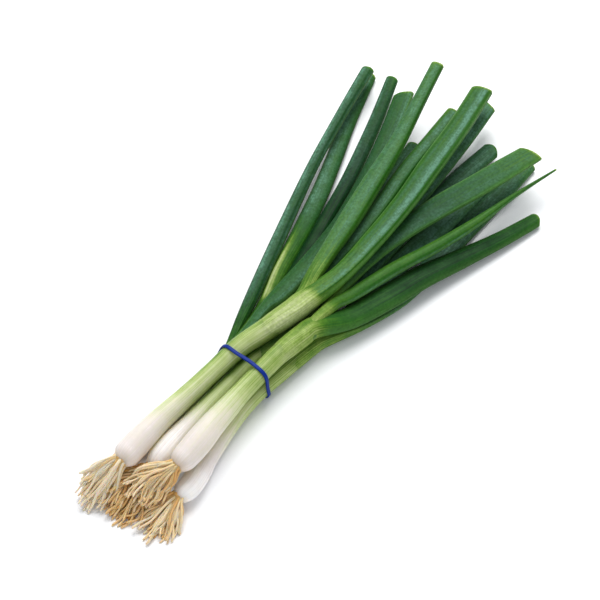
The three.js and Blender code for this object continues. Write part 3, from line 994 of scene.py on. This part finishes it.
def blade_section(theta, ridge, sharpness):
    """A rounded section of half sizes 1, with a crease at the ridge's angle."""
    apart = apart_from(theta[None], ridge[:, None])
    squarer = CREASE_POWER * sharpness[:, None] * np.exp(-((apart / CREASE_REACH) ** 2))
    power = 2 / (SECTION_POWER + squarer)
    crest = 1 + CREST_HEIGHT * sharpness[:, None] * np.exp(-((apart / CREST_REACH) ** 2))
    across, upward = squarish(theta, power)
    return across * crest, upward * crest


def leaf_rings(leaf, rows, shares, inset, phases):
    """The rings of a blade's outside, or of its bore where inset is the wall's thickness."""
    line = spline(rows, shares)
    centres = line[:, :3]
    along, left, up = directions(centres)
    theta = angles(LEAF_SIDES)
    ridge = np.radians(leaf["ridge"]) + RIDGE_WANDER * np.sin(RIDGE_WAVES * shares + phases[0])
    across, upward = blade_section(theta, ridge, smooth_step(shares, *CREASE_FROM))
    length = distances(centres)
    swell = 1
    for (count, height, slowness), phase in zip(SWELLS, phases[1:]):
        swell = swell + height * np.sin(count * theta[None] + length[:, None] / slowness + phase)
    half_width = (line[:, 3] / 2 - inset)[:, None]
    half_height = (line[:, 4] / 2 - inset)[:, None]
    sideways = across * half_width * swell
    cut = leaf.get("skew", 0) * (shares**4)[:, None] * sideways
    near_cut = np.exp(-(length[-1] - length) / CUT_REACH)[:, None]
    curve = near_cut * leaf.get("rounding", 1) * (across**2)
    rings = (
        centres[:, None]
        + left[:, None] * sideways[..., None]
        + up[:, None] * (upward * half_height * swell)[..., None]
        + along[:, None] * (cut - curve)[..., None]
    )
    rings[..., 2] = np.maximum(rings[..., 2], FLOOR + inset)
    return rings, length


def leaf_colours(name, leaf, from_base, from_tip, theta):
    """How green a leaf is, and how strong its stripes are, at each point."""
    rim = np.exp(-from_tip / RIM_REACH)[:, None]
    near_cut = np.exp(-from_tip / CUT_REACH)[:, None]
    green = np.interp(from_base, *zip(*leaf["green"]))[:, None] - RIM_PALER * rim - CUT_PALER * near_cut
    leafy = smooth_step(green, *LEAFY_GREEN) * (1 - rim)
    # a leaf's neck gets the painted shade and highlight of a stalk's neck
    green = green + neck_green_and_shade(name[:7], green, theta)
    if "streak" in leaf:
        angle, reach = leaf["streak"]
        fade = smooth_step(from_base, *STREAK_FROM) * (1 - smooth_step(from_base, reach / 2, reach))
        green -= fade[:, None] * stripes(theta, [[angle, STREAK_SPREAD, STREAK_STRENGTH]])
    colours = {"green": green.ravel()}
    for key in STRIPES:
        colours[key] = (leafy * stripes(theta, leaf.get(key, []))).ravel()
    if "waxy_from" in leaf:
        colours["bloom_and_highlight"] *= np.repeat(smooth_step(from_base, *leaf["waxy_from"]), LEAF_SIDES)
    return colours


def make_leaf(name, leaf, rng):
    """One blade: a hollow tube, open at its cut tip, that turns from pale to green."""
    rows = leaf_rows(name, leaf)
    phases = rng.uniform(0, 2 * math.pi, 3)
    shares = np.linspace(0, 1, LEAF_RINGS)
    outside, length = leaf_rings(leaf, rows, shares, 0, phases)
    base_share = (len(rows) - len(leaf["route"])) / (len(rows) - 1)
    from_base = length - np.interp(base_share, shares, length)
    theta = angles(LEAF_SIDES)
    own_grain = 0 if leaf.get("wraps") else int(name[-1])
    onion_grain = int(name[6]) + LEAF_GRAIN_STEPS * own_grain
    attributes = leaf_colours(name, leaf, from_base, length[-1] - length, theta)
    attributes["grain"] = grain_of(theta, outside[..., 0].mean(1) + GRAIN_STEP * onion_grain)
    if leaf.get("pointed"):
        points, faces = tube_mesh(outside)
    else:
        points, faces, attributes = add_bore(leaf, rows, outside, attributes, phases)
    make_piece(f"leaf_{name[6]}_{name[-1]}", points, faces, attributes, LEAF_SKIN, [name])


def add_bore(leaf, rows, outside, attributes, phases):
    """Joins a blade's outside to its bore round a rounded rim."""
    shares = np.linspace(1, BORE_FROM, BORE_RINGS)
    bore, _ = leaf_rings(leaf, rows, np.sort(shares), LEAF_WALL, phases)
    bore = bore[::-1]
    tip = unit(outside[-1].mean(0) - outside[-3].mean(0))
    rim = (outside[-1] + bore[0]) / 2 + tip * RIM_BULGE
    rings = np.concatenate([outside, rim[None], bore])
    points, faces = tube_mesh(rings)
    inner_rings = len(bore) + 1
    whole = {}
    for key, values in attributes.items():
        inner = np.full(inner_rings * LEAF_SIDES, BORE_GREEN if key == "green" else 0)
        if key == "grain":
            inner = np.tile(values[-LEAF_SIDES:], (inner_rings, 1))
        whole[key] = np.concatenate([values, inner])
    return points, faces, whole


# ---- roots ----


def bezier(controls, t):
    """The curve from the first of four points to the last, towards the two between them."""
    t = t[:, None]
    a, b, c, d = controls
    return (1 - t) ** 3 * a + 3 * (1 - t) ** 2 * t * b + 3 * (1 - t) * t**2 * c + t**3 * d


def root_clump(base, tuft, number, clumps, rng):
    """What the roots of a clump share: its place across the tuft, its layer, its bends and its tip."""
    layer = number % CLUMP_LAYERS
    share = (number + rng.uniform(0, 1)) / clumps
    bends = (rng.uniform(-1, 1), rng.uniform(0, 2.4), rng.uniform(0, 2 * math.pi, (3, 2)))
    tip = spline(tuft["tips"], np.array([share]))[0] + rng.normal(0, 1, 3) * CLUMP_SCATTER
    tip = base + (tip - base) * (1 - LAYER_SHRINK * layer)
    tip[2] -= LAYER_DROP * layer
    return share, layer, bends, tip


def root_line(base, tip, share, curl, bends, rng):
    """A root's line from the plate to its tip, which bends much like the others in its clump."""
    t = np.linspace(0, 1, ROOT_RINGS)
    around = rng.uniform(0, 2 * math.pi)
    out = PLATE_RADIUS * ROOTED_SHARE * math.sqrt(rng.uniform(0, 1))
    aside = out * (1 - 2 * share) * ROOTED_WIDTH
    start = base + [PLATE_INSET, aside, out * math.sin(around) * ROOTED_HEIGHT]
    reach = start[0] - tip[0]
    sideways, lift, phases = bends
    controls = [
        start,
        start + [-0.35 * reach, 0.3 * (tip[1] - start[1]), lift],
        tip + [0.3 * reach, sideways * curl, 0.5 + 0.8 * lift],
        tip,
    ]
    centres = bezier(controls, t)
    for (cycles, size), phase in zip(ROOT_WAVES, phases):
        own = phase + rng.normal(0, PHASE_SCATTER, 2)
        strength = curl * size * t**0.8
        centres[:, 1] += strength * np.sin(2 * math.pi * cycles * t + own[0])
        centres[:, 2] += ROOT_RISE * strength * np.sin(2 * math.pi * cycles * t + own[1])
    return centres


def root_rings(base, tuft, clump, rng):
    """One root's middle line, its rings and how brown it is at each, browner in lower layers with
    painted shade.
    """
    share, layer, bends, clump_tip = clump
    tip = clump_tip + rng.normal(0, 1, 3) * ROOT_SCATTER
    own_share = np.clip(share + rng.normal(0, SHARE_SCATTER), 0, 1)
    centres = root_line(base, tip, own_share, tuft["curl"], bends, rng)
    thick = tuft["thick"] * rng.uniform(0.8, 1.15)
    t = np.linspace(0, 1, ROOT_RINGS)
    knobs = 1 + ROOT_KNOBS * np.sin(9 * t + rng.uniform(0, 6))
    radius = thick * (1 - ROOT_TAPER * t) * knobs
    radius[-1] *= ROOT_TIP
    centres[:, 2] = np.maximum(centres[:, 2], FLOOR + radius)
    rings = round_rings(centres, radius[:, None], angles(ROOT_SIDES))
    rings[..., 2] = np.maximum(rings[..., 2], FLOOR)
    # the lower layers are browner with painted shade inside the tuft
    brown_and_shade = TUFT_BROWN * tuft["brown_and_shade"] + LAYER_PAINTED_SHADE * layer + rng.uniform(-0.1, 0.12)
    return centres, rings, np.clip(brown_and_shade + BASE_BROWN * (1 - t) ** 3, 0, 1)


def plate_rings(base):
    """The middle line and rings of the rounded disc of stem that a bulb's roots grow from."""
    t = np.linspace(0, 1, PLATE_RINGS)
    centres = np.tile(base, (PLATE_RINGS, 1))
    centres[:, 0] -= PLATE_DEPTH * np.sin(t * math.pi / 2)
    centres[:, 0] += PLATE_INSET
    radius = PLATE_RADIUS * np.sqrt(np.clip(1 - t**PLATE_ROUNDING, PLATE_TIP, 1))
    theta = angles(PLATE_SIDES)
    return centres, round_rings(centres, radius[:, None] * (1 + waves(theta, PLATE_KNOBS)), theta)


def make_roots(onion, tuft, rng):
    """A tuft of roots with the brown plate that they grow from."""
    base = np.array(STALKS[onion][0][:3], float)
    clumps = tuft["count"] // CLUMP
    meshes, grains, browns = [], [], []
    for i in range(clumps * CLUMP):
        if i % CLUMP == 0:
            clump = root_clump(base, tuft, i // CLUMP, clumps, rng)
        centres, rings, brown_and_shade = root_rings(base, tuft, clump, rng)
        meshes.append(tube_mesh(rings))
        grains.append(grain_of(angles(ROOT_SIDES), distances(centres)) + [0, 0, ROOT_GRAIN_STEP * i])
        browns.append(np.repeat(brown_and_shade, ROOT_SIDES))
    centres, rings = plate_rings(base)
    meshes.append(tube_mesh(rings))
    grains.append(grain_of(angles(PLATE_SIDES), distances(centres)))
    browns.append(np.full(PLATE_RINGS * PLATE_SIDES, PLATE_BROWN))

    points, faces = joined(meshes)
    attributes = {"grain": np.concatenate(grains), "brown_and_shade": np.concatenate(browns)}
    name = f"roots_{onion[-1]}"
    make_piece(name, points, faces, attributes, ROOT_SKIN, [f"{onion}_roots"])


# ---- the band ----


def tight_loop(circles):
    """The line of a tight band's middle round the circles, as evenly spaced points of y and z."""
    turns = np.linspace(0, 2 * math.pi, TURN_STEPS)
    outward = np.stack([np.cos(turns), np.sin(turns)], -1)
    farthest = np.argmax(outward @ circles[:, :2].T + circles[:, 2], axis=1)
    reach = circles[farthest, 2:] + BAND_CLEARANCE + BAND_THICKNESS / 2
    corners = circles[farthest, :2] + outward * reach
    length = distances(corners)
    even = np.linspace(0, length[-1], BAND_STEPS, endpoint=False)
    loop = np.stack([np.interp(even, length, corners[:, i]) for i in range(2)], -1)
    for _ in range(BAND_SMOOTHING):
        loop = (np.roll(loop, 1, 0) + 2 * loop + np.roll(loop, -1, 0)) / 4
    return loop


def make_band():
    """A rubber band of rounded section, pulled tight round the five necks."""
    crossings = []
    for onion, rows in STALKS.items():
        crossings.append(stalk_at(onion, BAND_X + BAND_LEAN * rows[BAND_ROW][2]))
    loop = tight_loop(np.array(crossings)[:, 1:])
    ahead = unit(np.roll(loop, -1, 0) - np.roll(loop, 1, 0))
    outward = np.stack([ahead[:, 1], -ahead[:, 0]], -1)
    corners = angles(BAND_SIDES)
    across, upward = squarish(corners, BAND_ROUNDING)
    flat = across * BAND_WIDTH / 2
    proud = upward * BAND_THICKNESS / 2
    turn = 2 * math.pi * np.arange(BAND_STEPS) / BAND_STEPS
    rings = np.zeros((BAND_STEPS, BAND_SIDES, 3))
    rings[..., 0] = (BAND_X + BAND_LEAN * loop[:, 1] + waves(turn, BAND_WANDERS))[:, None] + flat
    rings[..., 1:] = loop[:, None] + outward[:, None] * proud[None, :, None]
    rings[..., 2] = np.maximum(rings[..., 2], FLOOR)
    faces = skin_faces(BAND_STEPS, BAND_SIDES, closed=True)
    points = rings.reshape(-1, 3)
    grain = grain_of(corners, 10 * np.sin(turn))
    make_piece("band", points, faces, {"grain": grain}, BAND_RUBBER, ["rubber_band"])


# ---- the bunch ----

rng = np.random.default_rng(SEED)
for onion in STALKS:
    make_stalk(onion, rng)
for onion, tuft in TUFTS.items():
    make_roots(onion, tuft, rng)
for name, leaf in LEAVES.items():
    make_leaf(name, leaf, rng)
make_band()

# ---- floor, light and camera ----

FLOOR_HALF = 4.0  # metres
FLOOR_DROP = 0.0001  # so that the floor lies just clear of what rests on it
floor_mesh = bpy.data.meshes.new("floor")
corner_signs = [(-1, -1), (1, -1), (1, 1), (-1, 1)]
floor_corners = [(x * FLOOR_HALF, y * FLOOR_HALF, 0) for x, y in corner_signs]
floor_mesh.from_pydata(floor_corners, [], [(0, 1, 2, 3)])
floor_mesh.materials.append(floor_paper("floor_paper"))
floor = add_object("floor", floor_mesh)
floor.location.z = -FLOOR_DROP

TARGET = Vector((-4.28, -4.86, 10)) * MM
CAMERA_DISTANCE = 1.11
CAMERA_HEADING = math.radians(40)  # the way that the camera looks, from +X towards +Y
CAMERA_DROP = math.radians(56)
LENS = 120  # millimetres, as is the sensor's width
SENSOR_WIDTH = 36
look = Vector((
    math.cos(CAMERA_DROP) * math.cos(CAMERA_HEADING),
    math.cos(CAMERA_DROP) * math.sin(CAMERA_HEADING),
    -math.sin(CAMERA_DROP),
))
camera_data = bpy.data.cameras.new("camera")
camera_data.lens = LENS
camera_data.sensor_width = SENSOR_WIDTH
camera = add_object("camera", camera_data)
camera.location = TARGET - look * CAMERA_DISTANCE
camera.rotation_euler = look.to_track_quat("-Z", "Y").to_euler()
bpy.context.scene.camera = camera


def add_softbox(name, place, size, power):
    """A square area light that faces the bunch."""
    data = bpy.data.lights.new(name, "AREA")
    data.size = size
    data.energy = power
    light = add_object(name, data)
    light.location = place
    light.rotation_euler = (TARGET - Vector(place)).to_track_quat("-Z", "Y").to_euler()


# Places and sizes are metres, powers are watts, and the fill lights the flanks in the shade.
add_softbox("key", (0.66, 0.49, 1.24), 1.0, 26.3)
add_softbox("fill", (-0.5, -0.95, 0.22), 0.4, 2)

SKY_COLOUR = (0.92, 0.96, 1, 1)
SKY_STRENGTH = 0.52
world = bpy.data.worlds.new("studio")
world.use_nodes = True
background = world.node_tree.nodes["Background"]
background.inputs["Color"].default_value = SKY_COLOUR
background.inputs["Strength"].default_value = SKY_STRENGTH
bpy.context.scene.world = world
bpy.context.scene.view_settings.view_transform = "Standard"
